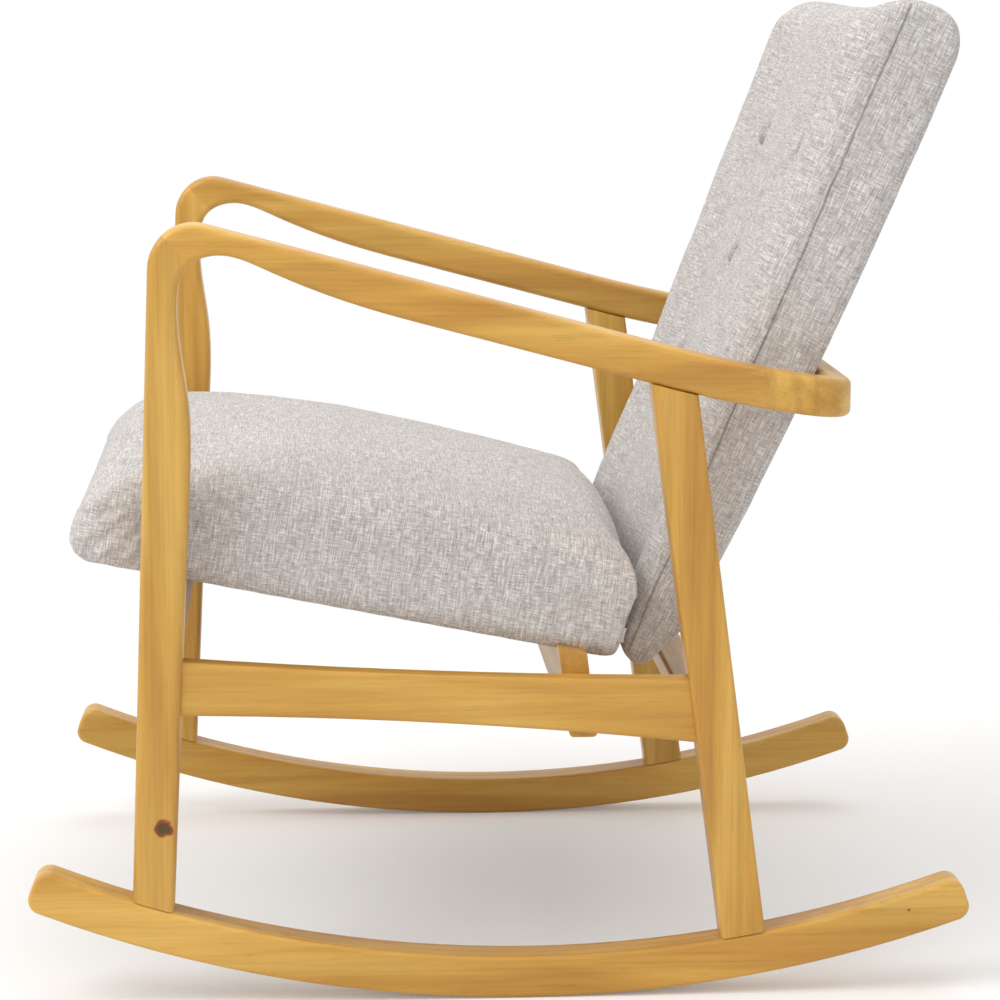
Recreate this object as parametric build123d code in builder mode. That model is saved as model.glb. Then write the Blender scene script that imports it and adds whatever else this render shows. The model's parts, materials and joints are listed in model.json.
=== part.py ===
from build123d import *
import os
from math import asin, cos, radians, sin, sqrt, tan

# Rocking armchair: two flat side frames on curved rockers, joined by cross rails and by a bow that
# wraps round the back, with an upholstered seat and an upholstered, winged, button-tufted back.
# Millimetres. +X is the sitter's left, -Y is the way the chair faces, +Z is up. The origin is the
# centre of the chair's footprint, on the floor.

os.makedirs("parts", exist_ok=True)

# ---- Driving dimensions: whole chair ----
overall_width = 669.0
overall_depth = 841.0
frame_thickness = 36.0
rail_round = 6.0
edge_round = 4.0

# ---- Driving dimensions: rockers ----
rocker_radius = 1174.0
rocker_depth = 38.5
rocker_end_round = 13.0
contact_y = 27.3

# ---- Driving dimensions: front legs ----
front_leg_base_y = -328.5
front_leg_base_z = 95.0
front_leg_lean = 2.3
front_leg_foot_width = 36.4
front_leg_belly_width = 40.2
front_leg_belly_z = 430.0
front_leg_swell_width = 38.0
front_leg_swell_z = 538.0
front_leg_waist_width = 26.0
front_leg_waist_drop = 73.0

# ---- Driving dimensions: arms and bow ----
elbow_top_z = 693.8
elbow_radius = 39.4
mitre_lift = 2.0
mitre_run = 61.6
armpit_run = 10.0
armpit_drop = 37.0
neck_run = 20.0
neck_drop = 27.2
throat_run = 60.0
throat_drop = 38.8
arm_slope = 15.0
arm_depth = 35.8
arm_straight_start_y = -75.0
arm_straight_end_y = 140.0
bow_top_drop = 142.8
bow_back_gap = 9.4
bow_end_drop = 2.5
bow_depth = 33.0
bow_thickness = 25.0
bow_corner_radius = 50.0
bow_inner_radius = 16.0
finger_joint_y = 223.0
finger_length = 16.0
finger_pitch = 8.0

# ---- Driving dimensions: rear legs ----
rear_leg_base_y = 196.5
rear_leg_base_z = 51.0
rear_leg_lean = 7.6
rear_leg_width = 40.0

# ---- Driving dimensions: stretchers and cross rails ----
stretcher_thickness = 25.0
stretcher_inset = 5.0
stretcher_front_top_z = 312.5
stretcher_middle_top_z = 295.5
stretcher_rear_top_z = 288.5
stretcher_front_bottom_z = 262.0
stretcher_middle_bottom_z = 252.0
stretcher_rear_bottom_z = 228.0
cross_rail_thickness = 25.0
front_rail_height = 64.0
front_rail_thickness = 34.0
seat_rail_top_y = 51.0
seat_rail_bottom_z = 232.0
seat_rail_lean = 7.5
leg_rail_height = 20.0
leg_rail_width = 32.0
leg_rail_z = 235.0
leg_rail_setback = 2.0

# ---- Driving dimensions: seat ----
seat_tilt = 11.3
seat_base_z = 323.0
seat_leg_gap = 12.5
seat_front = -398.0
seat_front_lean = 12.0
seat_front_height = 96.0
seat_crest = -150.0
seat_height = 124.0
seat_rear = 103.0
seat_rear_height = 109.0
seat_crown_drop = 25.0
seat_corner_rounds = (28.0, 12.0, 45.0, 60.0)
seat_shoulder_round = 32.0
seat_lower_round = 20.0
seat_plan_round = 30.0
cover_thickness = 2.0
soft_clearance = 0.3
seat_frame_inset = 36.0
seat_frame_front = -362.0
seat_frame_rear = 88.0
seat_frame_rail = 30.0
seat_frame_front_rail = 45.0
seat_frame_height = 60.0
webbing_width = 50.0
webbing_thickness = 1.5
webbing_inset = 10.0
seat_webbing_count = 5
seat_webbing_spacing = 72.0
cross_webbing_count = 5
cross_webbing_spacing = 68.0
lining_margin = 6.0

# ---- Driving dimensions: back ----
back_frame_gap = 32.5
back_base_y = 173.0
back_base_z = 324.0
back_tilt = 24.7
back_taper = 3.8
back_base_thickness = 59.0
back_length = 590.0
back_bulge = 8.0
back_heel = (-60.0, 24.0)
back_toe_drop = 44.0
back_corner_rounds = (16.0, 18.0, 30.0, 40.0, 54.0)
back_side_round = 14.0
wing_width = 76.0
dish_depth = 17.0
back_frame_setback = 16.0
back_frame_depth = 20.0
back_frame_bottom = -24.0
back_frame_top = 520.0
back_stile_width = 45.0
back_rail_width = 45.0
bow_rail_width = 64.0
back_webbing_count = 7
back_webbing_first = 65.0
back_webbing_spacing = 61.7
back_lining_span = (-50.0, -10.0)
button_radius = 12.5
button_rise = 7.0
button_edge_round = 5.0
button_spacing = 264.0
upper_button_height = 435.0
button_row_pitch = 118.0
twine_radius = 1.0
hole_clearance = 0.3

# ---- Driving dimensions: dowels, screws and brackets ----
dowel_radius = 5.0
small_dowel_radius = 4.0
dowel_length = 36.0
dowel_chamfer = 1.0
dowel_clearance = 0.15
dowel_end_gap = 1.0
foot_dowel_spacing = 17.0
elbow_dowel_spacing = 14.4
elbow_dowel_run = 25.4
stretcher_dowel_spacing = 20.8
front_rail_dowel_spacing = 25.0
leg_rail_dowel_spacing = 12.8
screw_radius = 2.5
screw_length = 60.0
screw_head_radius = 5.0
screw_head_height = 3.0
screw_clearance = 0.2
screw_end_gap = 1.0
rail_grip = 45.0
bow_counterbore = 12.0
bow_screw_spacing = 240.0
bracket_thickness = 2.5
bracket_width = 14.0
bracket_rise = 13.0
bracket_seat_span = (36.0, 136.0)
bracket_back_span = (-26.0, 58.0)
bracket_screw_length = 18.0
bracket_seat_screws = (44.0, 74.0)
bracket_back_screws = (12.0, 46.0)

# ---- Worked out from the driving dimensions ----
half_width = overall_width / 2
inner_face_x = half_width - frame_thickness
seat_half_width = inner_face_x - seat_leg_gap
seat_frame_width = 2 * (seat_half_width - seat_frame_inset)
seat_screw_spacing = seat_frame_width - seat_frame_rail
back_half_width = inner_face_x - back_frame_gap
dish_half_width = back_half_width - wing_width
elbow_centre_z = elbow_top_z - elbow_radius
elbow_start_z = elbow_centre_z + elbow_radius * sin(radians(front_leg_lean))
elbow_start_y = front_leg_base_y + (elbow_start_z - front_leg_base_z) * tan(radians(front_leg_lean))
elbow_centre_y = elbow_start_y + elbow_radius * cos(radians(front_leg_lean))
front_leg_waist_z = elbow_top_z - front_leg_waist_drop
arm_reference_z = (
    elbow_centre_z
    + elbow_radius / cos(radians(arm_slope))
    + elbow_centre_y * tan(radians(arm_slope))
)
bow_top_z = elbow_top_z - bow_top_drop
middle_x = half_width - frame_thickness / 2
stretcher_inner_x = half_width - stretcher_inset - stretcher_thickness
corner_track_radius = rocker_radius - rocker_end_round
corner_angle = asin(rocker_end_round / corner_track_radius)
end_reach = overall_depth / 2 - rocker_end_round
front_angle = -asin((end_reach + contact_y) / corner_track_radius) - corner_angle
rear_angle = asin((end_reach - contact_y) / corner_track_radius) + corner_angle
seat_sin = sin(radians(seat_tilt))
seat_cos = cos(radians(seat_tilt))
back_sin = sin(radians(back_tilt))
back_cos = cos(radians(back_tilt))
seat_frame_top = cover_thickness + seat_frame_height
bow_rear_y = (
    back_base_y + (bow_top_z - back_base_z) * back_sin / back_cos + bow_back_gap + bow_thickness
)
seat_rear_lean = back_tilt - back_taper - seat_tilt
back_frame_front = back_frame_setback + back_frame_depth
back_frame_middle = back_frame_setback + back_frame_depth / 2
dish_radius = (dish_half_width**2 + dish_depth**2) / (2 * dish_depth)
reach = 1200.0

seat_plane = Plane(origin=(0, 0, seat_base_z), x_dir=(1, 0, 0), z_dir=(0, seat_sin, seat_cos))
seat_front_plane = Plane(origin=(0, 0, seat_base_z), x_dir=(1, 0, 0), z_dir=(0, -seat_cos, seat_sin))
back_plane = Plane(
    origin=(0, back_base_y, back_base_z), x_dir=(1, 0, 0), z_dir=(0, -back_cos, back_sin)
)
sides = {"left": 1, "right": -1}


def rocker_point(radius, angle):
    """A point of the side view at a radius from the rocking centre, angled from straight down."""
    return (contact_y + radius * sin(angle), rocker_radius - radius * cos(angle))


def rocker_top_z(y):
    """Height of the rocker's upper edge."""
    radius = rocker_radius - rocker_depth
    return rocker_radius - sqrt(radius**2 - (y - contact_y) ** 2)


def front_leg_front_y(z):
    return front_leg_base_y + (z - front_leg_base_z) * tan(radians(front_leg_lean))


def rear_leg_front_y(z):
    return rear_leg_base_y - (z - rear_leg_base_z) * tan(radians(rear_leg_lean))


def arm_top_z(y):
    """Height of the straight stretch of the arm's upper edge, carried on both ways."""
    return arm_reference_z - y * tan(radians(arm_slope))


def seat_point(along, up):
    """Side-view point of the seat, along its underside from above the origin, and up from it."""
    return (along * seat_cos + up * seat_sin, seat_base_z - along * seat_sin + up * seat_cos)


def back_point(up, forward):
    """Side-view point of the back, up its rear face from the base, and forward from that face."""
    return (
        back_base_y + up * back_sin - forward * back_cos,
        back_base_z + up * back_cos + forward * back_sin,
    )


def back_front(up):
    """How far the front of the back stands off its rear face, at a height up the back."""
    return back_base_thickness + up * tan(radians(back_taper))


def seat_bottom_z(y):
    return seat_base_z - y * tan(radians(seat_tilt))


def side_plane(side, inset, thickness):
    """Side-view plane on the lower-X face of a member of the left (1) or right (-1) frame."""
    if side > 0:
        return Plane.YZ.offset(half_width - inset - thickness)
    return Plane.YZ.offset(-half_width + inset)


def bent_rail_face(mode=Mode.ADD):
    """Side view of front leg, elbow, arm and bow as one outline, longer than needed at both ends."""
    foot_z = front_leg_base_z - rocker_depth
    end_y = bow_rear_y + bow_thickness
    slope = (cos(radians(arm_slope)), -sin(radians(arm_slope)))
    lean = (sin(radians(front_leg_lean)), cos(radians(front_leg_lean)))
    elbow_start = (elbow_start_y, elbow_start_z)
    elbow_end_y = elbow_centre_y - elbow_radius * slope[1]
    elbow_end = (elbow_end_y, arm_top_z(elbow_end_y))
    top_end = (arm_straight_end_y, arm_top_z(arm_straight_end_y))
    bow_top_end = (end_y, bow_top_z - bow_end_drop)
    bow_bottom_end = (end_y, bow_top_end[1] - bow_depth)
    under_end = (top_end[0], top_end[1] - arm_depth)
    under_start = (arm_straight_start_y, arm_top_z(arm_straight_start_y) - arm_depth)
    foot_front = (front_leg_front_y(foot_z), foot_z)
    foot_rear = (foot_front[0] + front_leg_foot_width, foot_z)
    belly = (front_leg_front_y(front_leg_belly_z) + front_leg_belly_width, front_leg_belly_z)
    swell = (front_leg_front_y(front_leg_swell_z) + front_leg_swell_width, front_leg_swell_z)
    waist = (front_leg_front_y(front_leg_waist_z) + front_leg_waist_width, front_leg_waist_z)
    armpit = (waist[0] + armpit_run, elbow_top_z - armpit_drop)
    neck = (elbow_centre_y + neck_run, elbow_top_z - neck_drop)
    throat = (elbow_centre_y + throat_run, elbow_top_z - throat_drop)
    with BuildLine() as outline:
        Line(foot_front, elbow_start)
        TangentArc(elbow_start, elbow_end, tangent=lean)
        Line(elbow_end, top_end)
        TangentArc(top_end, bow_top_end, tangent=slope)
        Line(bow_top_end, bow_bottom_end)
        TangentArc(under_end, bow_bottom_end, tangent=slope)
        Line(under_end, under_start)
        leg_rear = Line(foot_rear, belly)
        curve = (belly, swell, waist, armpit, neck, throat, under_start)
        Spline(*curve, tangents=(leg_rear % 1, slope))
        Line(foot_rear, foot_front)
    make_face(outline.edges(), mode=mode)


def rail_edges(piece):
    """The long edges of a bent rail's two sides, without those of its ends."""
    edges = piece.faces().filter_by(Axis.X).edges()
    return edges.filter_by(lambda edge: edge.length > 1.2 * front_leg_foot_width)


def region(points, mode):
    """A straight-sided region of the side view that cuts or keeps part of a member."""
    with BuildLine() as outline:
        Polyline(*points, close=True)
    make_face(outline.edges(), mode=mode)


def below_rocker_top(mode):
    """Everything under the rocker's upper edge."""
    radius = rocker_radius - rocker_depth
    with BuildLine() as outline:
        ThreePointArc(rocker_point(radius, -0.5), rocker_point(radius, 0), rocker_point(radius, 0.5))
        Polyline(
            rocker_point(radius, 0.5),
            (rocker_point(radius, 0.5)[0], -rocker_depth),
            (rocker_point(radius, -0.5)[0], -rocker_depth),
            rocker_point(radius, -0.5),
        )
    make_face(outline.edges(), mode=mode)


def beyond_mitre(mode):
    """The arm's side of the mitre that crosses the elbow at 45 degrees."""
    inner = (elbow_start_y + elbow_radius, elbow_start_z + mitre_lift)
    corner = (inner[0] + mitre_run, inner[1] - mitre_run)
    points = (
        (inner[0] - mitre_run, inner[1] + mitre_run),
        corner,
        (bow_rear_y + reach, corner[1] - reach / 2),
        (bow_rear_y + reach, inner[1] + mitre_run),
    )
    region(points, mode)


def behind_finger_joint(mode):
    """The bow's side of the zig-zag finger joint."""
    middle_z = arm_top_z(finger_joint_y) - arm_depth / 2
    tips = round(3 * arm_depth / finger_pitch)
    zigzag = []
    for tip in range(-tips, tips + 1):
        offset = finger_length / 2 if tip % 2 else -finger_length / 2
        zigzag.append((finger_joint_y + offset, middle_z + tip * finger_pitch / 2))
    behind_y = bow_rear_y + reach
    region(zigzag + [(behind_y, zigzag[-1][1]), (behind_y, zigzag[0][1])], mode)


def rear_leg_face(mode):
    """Side view of a rear leg, longer than needed at both ends."""
    low_z = rear_leg_base_z - rocker_depth
    high_z = elbow_top_z
    points = (
        (rear_leg_front_y(low_z), low_z),
        (rear_leg_front_y(low_z) + rear_leg_width, low_z),
        (rear_leg_front_y(high_z) + rear_leg_width, high_z),
        (rear_leg_front_y(high_z), high_z),
    )
    region(points, mode)


def pegs(places, radius, length, mode):
    """Round pegs centred at places, each a point and a direction."""
    for point, direction in places:
        with BuildSketch(Plane(origin=point, z_dir=direction)) as section:
            Circle(radius)
        extrude(section.sketch, amount=length / 2, both=True, mode=mode)


def drill(places, radius):
    """Peg holes, a little wider and longer than the pegs."""
    pegs(places, radius + dowel_clearance, dowel_length + 2 * dowel_end_gap, Mode.SUBTRACT)


def seat_profile(inset):
    """The seat's outline in the side view: a leaning front, an arched top and a sloping rear."""
    front_low = seat_point(seat_front, 0)
    rear_low = seat_point(seat_rear, 0)
    front_shift = seat_front_height * tan(radians(seat_front_lean))
    rear_shift = seat_rear_height * tan(radians(seat_rear_lean))
    front_high = seat_point(seat_front + front_shift, seat_front_height)
    rear_high = seat_point(seat_rear + rear_shift, seat_rear_height)
    with BuildSketch(Plane.YZ) as profile:
        with BuildLine():
            ThreePointArc(front_high, seat_point(seat_crest, seat_height), rear_high)
            Polyline(rear_high, rear_low, front_low, front_high)
        make_face()
        corners = [front_low, rear_low, rear_high, front_high]
        for corner, radius in zip(corners, seat_corner_rounds):
            fillet(profile.vertices().sort_by_distance(corner)[0], radius=radius)
        if inset > 0:
            offset(amount=-inset, kind=Kind.INTERSECTION)
    return profile.sketch


def seat_section(inset):
    """The seat's outline seen from the front: upright sides under a domed top."""
    side_height = seat_height - seat_crown_drop
    shoulder = (seat_half_width, side_height)
    foot = (seat_half_width, 0)
    with BuildSketch(seat_front_plane) as section:
        with BuildLine():
            ThreePointArc((-shoulder[0], shoulder[1]), (0, seat_height), shoulder)
            Polyline(shoulder, foot, (-foot[0], 0), (-shoulder[0], shoulder[1]))
        make_face()
        fillet(section.vertices().sort_by(Axis.Y)[-2:], radius=seat_shoulder_round)
        fillet(section.vertices().sort_by(Axis.Y)[:2], radius=seat_lower_round)
        if inset > 0:
            offset(amount=-inset, kind=Kind.INTERSECTION)
    return section.sketch


def seat_plan(inset):
    """The seat's outline seen from above, with rounded corners."""
    with BuildSketch(seat_plane) as plan:
        with BuildLine():
            Polyline(
                (-seat_half_width, seat_front),
                (seat_half_width, seat_front),
                (seat_half_width, seat_rear + seat_height),
                (-seat_half_width, seat_rear + seat_height),
                close=True,
            )
        make_face()
        fillet(plan.vertices().sort_by(Axis.Y)[:2], radius=seat_plan_round)
        if inset > 0:
            offset(amount=-inset, kind=Kind.INTERSECTION)
    return plan.sketch


def seat_block(inset):
    """The seat's soft outline, drawn in from its outer surface by an inset."""
    with BuildPart() as block:
        extrude(seat_profile(inset), amount=seat_half_width, both=True)
        extrude(seat_section(inset), amount=reach, both=True, mode=Mode.INTERSECT)
        extrude(seat_plan(inset), amount=reach, both=True, mode=Mode.INTERSECT)
    return block.part


def dish_tool(inset):
    """The long round tool that hollows the front of the back between its wings."""
    axis_point = back_point(0, back_base_thickness - dish_depth + dish_radius)
    lean = radians(back_tilt - back_taper)
    along = (0, sin(lean), cos(lean))
    with BuildSketch(Plane(origin=(0, axis_point[0], axis_point[1]), z_dir=along)) as section:
        Circle(dish_radius + inset)
    with BuildPart() as tool:
        extrude(section.sketch, amount=reach, both=True)
    return tool.part


def back_block(inset):
    """The back's soft outline, winged and hollowed, drawn in from its outer surface by an inset."""
    toe = (-back_toe_drop, back_front(-back_toe_drop))
    crown = (back_length, back_front(back_length))
    corners = [toe, back_heel, (0, 0), (back_length, 0), crown]
    places = [back_point(height, depth) for height, depth in corners]
    with BuildSketch(Plane.YZ) as profile:
        with BuildLine() as outline:
            Polyline(places[0], places[1], places[2])
            ThreePointArc(places[2], back_point(back_length / 2, -back_bulge), places[3])
            Polyline(places[3], places[4], places[0])
        make_face(outline.edges())
        for corner, radius in zip(places, back_corner_rounds):
            fillet(profile.vertices().sort_by_distance(corner)[0], radius=radius)
        if inset > 0:
            offset(amount=-inset, kind=Kind.INTERSECTION)
    with BuildPart() as block:
        extrude(profile.sketch, amount=back_half_width - inset, both=True)
        fillet(block.faces().filter_by(Axis.X).edges(), radius=back_side_round - inset)
        add(dish_tool(inset), mode=Mode.SUBTRACT)
    return block.part


def slab(plane, bottom, top, x_span, y_span, mode=Mode.ADD):
    """A flat board between two levels of a plane, over a span of its x and of its y."""
    with BuildSketch(plane.offset(bottom)) as section:
        with Locations(((x_span[0] + x_span[1]) / 2, (y_span[0] + y_span[1]) / 2)):
            Rectangle(x_span[1] - x_span[0], y_span[1] - y_span[0])
    extrude(section.sketch, amount=top - bottom, mode=mode)


def screws(places, length):
    """Screws whose heads seat at places, each a point and the direction the screw is driven."""
    for point, direction in places:
        with BuildSketch(Plane(origin=point, z_dir=direction)) as section:
            Circle(screw_radius)
        with BuildSketch(Plane(origin=point, z_dir=direction)) as head:
            Circle(screw_head_radius)
        extrude(section.sketch, amount=length)
        extrude(head.sketch, amount=-screw_head_height)


def screw_holes(places, length, counterbore=0.0):
    """Clearance holes for screws, with room behind each head."""
    for point, direction in places:
        with BuildSketch(Plane(origin=point, z_dir=direction)) as section:
            Circle(screw_radius + screw_clearance)
        extrude(section.sketch, amount=length + screw_end_gap, mode=Mode.SUBTRACT)
        if counterbore > 0:
            with BuildSketch(Plane(origin=point, z_dir=direction)) as head:
                Circle(screw_head_radius + screw_clearance)
            extrude(head.sketch, amount=-counterbore, mode=Mode.SUBTRACT)


def below_seat(mode):
    """Everything under the seat's flat underside, in the side view."""
    region(
        (
            (-reach, seat_bottom_z(-reach)),
            (reach, seat_bottom_z(reach)),
            (reach, -reach),
            (-reach, -reach),
        ),
        mode,
    )


def finish_piece(piece, name):
    """Name a finished piece and write it out."""
    piece.part.label = name
    export_step(piece.part, "parts/" + name + ".step")


# ---- Dowel places ----
up = (0, 0, 1)
rear_leg_axis = (0, -sin(radians(rear_leg_lean)), cos(radians(rear_leg_lean)))
front_foot_y = front_leg_front_y(front_leg_base_z) + front_leg_foot_width / 2
rear_foot_y = rear_leg_base_y + rear_leg_width / 2
rear_top_z = arm_top_z(rear_leg_front_y(arm_reference_z)) - arm_depth
rear_top_y = rear_leg_front_y(rear_top_z) + rear_leg_width / 2
front_joint_z = (stretcher_front_top_z + stretcher_front_bottom_z) / 2
rear_joint_z = (stretcher_rear_top_z + stretcher_rear_bottom_z) / 2
front_joint_y = front_leg_front_y(front_joint_z) + front_leg_foot_width
rear_joint_y = rear_leg_front_y(rear_joint_z)
stretcher_x = half_width - stretcher_inset - stretcher_thickness / 2
elbow_peg_y = elbow_start_y + elbow_dowel_run
elbow_peg_z = elbow_start_z + mitre_lift + elbow_radius - elbow_dowel_run
front_rail_y = front_leg_front_y(seat_bottom_z(front_leg_base_y)) + front_leg_foot_width / 2
front_rail_top_z = seat_bottom_z(front_rail_y)
leg_rail_y = rear_leg_front_y(leg_rail_z) + leg_rail_setback + leg_rail_width / 2
seat_rail_peg_z = (stretcher_middle_top_z + stretcher_rear_bottom_z) / 2
seat_rail_peg_y = (
    seat_rail_top_y
    + cross_rail_thickness / 2
    + (seat_bottom_z(seat_rail_top_y) - seat_rail_peg_z) * tan(radians(seat_rail_lean))
)
foot_dowels = []
arm_dowels = []
elbow_dowels = []
stretcher_dowels = []
front_rail_dowels = []
leg_rail_dowels = []
seat_rail_dowels = []
for side in sides.values():
    for step in (-0.5, 0.5):
        foot_step = step * foot_dowel_spacing
        front_spot = front_foot_y + foot_step
        rear_spot = rear_foot_y + foot_step
        foot_dowels.append(((side * middle_x, front_spot, rocker_top_z(front_spot)), up))
        foot_dowels.append(((side * middle_x, rear_spot, rocker_top_z(rear_spot)), rear_leg_axis))
        arm_spot_z = rear_top_z - foot_step * tan(radians(arm_slope))
        arm_dowels.append(((side * middle_x, rear_top_y + foot_step, arm_spot_z), rear_leg_axis))
        elbow_x = side * middle_x + step * elbow_dowel_spacing
        elbow_dowels.append(((elbow_x, elbow_peg_y, elbow_peg_z), (0, 1, 1)))
        lift = step * stretcher_dowel_spacing
        stretcher_dowels.append(((side * stretcher_x, front_joint_y, front_joint_z + lift), (0, 1, 0)))
        stretcher_dowels.append(((side * stretcher_x, rear_joint_y, rear_joint_z + lift), (0, 1, 0)))
        front_peg_z = front_rail_top_z - front_rail_height / 2 + step * front_rail_dowel_spacing
        front_rail_dowels.append(((side * inner_face_x, front_rail_y, front_peg_z), (1, 0, 0)))
        leg_peg_y = leg_rail_y + step * leg_rail_dowel_spacing
        leg_rail_dowels.append(((side * inner_face_x, leg_peg_y, leg_rail_z), (1, 0, 0)))
        seat_peg = (side * stretcher_inner_x, seat_rail_peg_y, seat_rail_peg_z + lift)
        seat_rail_dowels.append((seat_peg, (1, 0, 0)))

# ---- Side frames, left and right ----
for name, side in sides.items():
    # Curved rocker with rounded ends.
    with BuildPart() as rocker:
        with BuildSketch(side_plane(side, 0, frame_thickness)):
            top_radius = rocker_radius - rocker_depth
            with BuildLine():
                ThreePointArc(
                    rocker_point(rocker_radius, front_angle),
                    rocker_point(rocker_radius, 0),
                    rocker_point(rocker_radius, rear_angle),
                )
                Line(rocker_point(rocker_radius, rear_angle), rocker_point(top_radius, rear_angle))
                ThreePointArc(
                    rocker_point(top_radius, rear_angle),
                    rocker_point(top_radius, 0),
                    rocker_point(top_radius, front_angle),
                )
                Line(rocker_point(top_radius, front_angle), rocker_point(rocker_radius, front_angle))
            face = make_face()
            fillet(face.vertices(), radius=rocker_end_round)
        extrude(amount=frame_thickness)
        fillet(rocker.faces().filter_by(Axis.X).edges(), radius=edge_round)
        drill(foot_dowels, dowel_radius)
    finish_piece(rocker, name + "_rocker")

    # Front leg: slim under the elbow, swelling below it, mitred to the arm.
    with BuildPart() as front_leg:
        with BuildSketch(side_plane(side, 0, frame_thickness)):
            bent_rail_face()
        extrude(amount=frame_thickness)
        fillet(rail_edges(front_leg), radius=rail_round)
        with BuildSketch(side_plane(side, 0, frame_thickness)):
            beyond_mitre(Mode.ADD)
            below_rocker_top(Mode.ADD)
        extrude(amount=frame_thickness, mode=Mode.SUBTRACT)
        drill(foot_dowels + elbow_dowels + front_rail_dowels, dowel_radius)
        drill(stretcher_dowels, small_dowel_radius)
    finish_piece(front_leg, name + "_front_leg")

    # Arm: from the elbow's mitre to the finger joint with the bow.
    with BuildPart() as arm:
        with BuildSketch(side_plane(side, 0, frame_thickness)):
            bent_rail_face()
        extrude(amount=frame_thickness)
        fillet(rail_edges(arm), radius=rail_round)
        with BuildSketch(side_plane(side, 0, frame_thickness)):
            beyond_mitre(Mode.ADD)
            behind_finger_joint(Mode.SUBTRACT)
        extrude(amount=frame_thickness, mode=Mode.INTERSECT)
        drill(arm_dowels + elbow_dowels, dowel_radius)
    finish_piece(arm, name + "_arm")

    # Rear leg: leans forward from the rocker to the arm's underside.
    with BuildPart() as rear_leg:
        with BuildSketch(side_plane(side, 0, frame_thickness)):
            rear_leg_face(Mode.ADD)
        extrude(amount=frame_thickness)
        fillet(rear_leg.faces().filter_by(Axis.X).edges(), radius=edge_round)
        with BuildSketch(side_plane(side, 0, frame_thickness)):
            bent_rail_face()
            below_rocker_top(Mode.ADD)
            under_z = arm_top_z(rear_leg_base_y) - arm_depth
            region(
                (
                    (arm_straight_start_y, arm_top_z(arm_straight_start_y) - arm_depth / 2),
                    (rear_leg_base_y + rear_leg_width, under_z + arm_depth / 2),
                    (rear_leg_base_y + rear_leg_width, elbow_top_z + rocker_depth),
                    (arm_straight_start_y, elbow_top_z + rocker_depth),
                ),
                Mode.ADD,
            )
        extrude(amount=frame_thickness, mode=Mode.SUBTRACT)
        drill(foot_dowels + arm_dowels + leg_rail_dowels, dowel_radius)
        drill(stretcher_dowels, small_dowel_radius)
    finish_piece(rear_leg, name + "_rear_leg")

    # Side stretcher: a board, a little hollow along both edges, between the legs.
    with BuildPart() as stretcher:
        start_y = front_leg_base_y + front_leg_foot_width / 2
        end_y = rear_leg_base_y
        middle_y = (start_y + end_y) / 2
        with BuildSketch(side_plane(side, stretcher_inset, stretcher_thickness)):
            with BuildLine():
                Spline(
                    (start_y, stretcher_front_top_z),
                    (middle_y, stretcher_middle_top_z),
                    (end_y, stretcher_rear_top_z),
                )
                Line((end_y, stretcher_rear_top_z), (end_y, stretcher_rear_bottom_z))
                Spline(
                    (end_y, stretcher_rear_bottom_z),
                    (middle_y, stretcher_middle_bottom_z),
                    (start_y, stretcher_front_bottom_z),
                )
                Line((start_y, stretcher_front_bottom_z), (start_y, stretcher_front_top_z))
            make_face()
            bent_rail_face(Mode.SUBTRACT)
            rear_leg_face(Mode.SUBTRACT)
        extrude(amount=stretcher_thickness)
        long_edges = stretcher.edges().filter_by(lambda edge: edge.length > 4 * stretcher_thickness)
        fillet(long_edges, radius=edge_round)
        drill(stretcher_dowels + seat_rail_dowels, small_dowel_radius)
    finish_piece(stretcher, name + "_stretcher")

# ---- Screw places ----
rail_lean = (0, -sin(radians(seat_rail_lean)), cos(radians(seat_rail_lean)))
seat_rail_axis_y = seat_rail_top_y + cross_rail_thickness / 2
grip = rail_grip * rail_lean[2]
front_screws = []
rear_screws = []
bow_screws = []
for step in (-1, 1):
    seat_screw_x = step * seat_screw_spacing / 2
    front_screws.append(((seat_screw_x, front_rail_y, front_rail_top_z - rail_grip), up))
    rear_seat_y = seat_rail_axis_y + grip * tan(radians(seat_rail_lean))
    rear_seat_z = seat_bottom_z(seat_rail_axis_y) - grip
    rear_screws.append(((seat_screw_x, rear_seat_y, rear_seat_z), rail_lean))
    bow_screw_z = bow_top_z - bow_depth / 2
    bow_seat_y = bow_rear_y - bow_counterbore
    bow_screws.append(((step * bow_screw_spacing / 2, bow_seat_y, bow_screw_z), (0, -1, 0)))
seat_screws = front_screws + rear_screws
bracket_screws = []
bracket_x = seat_frame_width / 2
for side in sides.values():
    seats = [seat_point(along, bracket_rise) for along in bracket_seat_screws]
    seats += [back_point(height, back_frame_middle) for height in bracket_back_screws]
    for y, z in seats:
        bracket_screws.append(((side * (bracket_x + bracket_thickness), y, z), (-side, 0, 0)))
button_places = {
    "upper": [(-button_spacing / 2, upper_button_height), (button_spacing / 2, upper_button_height)],
    "centre": [(0, upper_button_height - button_row_pitch)],
    "lower": [
        (-button_spacing / 2, upper_button_height - 2 * button_row_pitch),
        (button_spacing / 2, upper_button_height - 2 * button_row_pitch),
    ],
}
twine_places = button_places["upper"] + button_places["centre"] + button_places["lower"]

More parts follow.
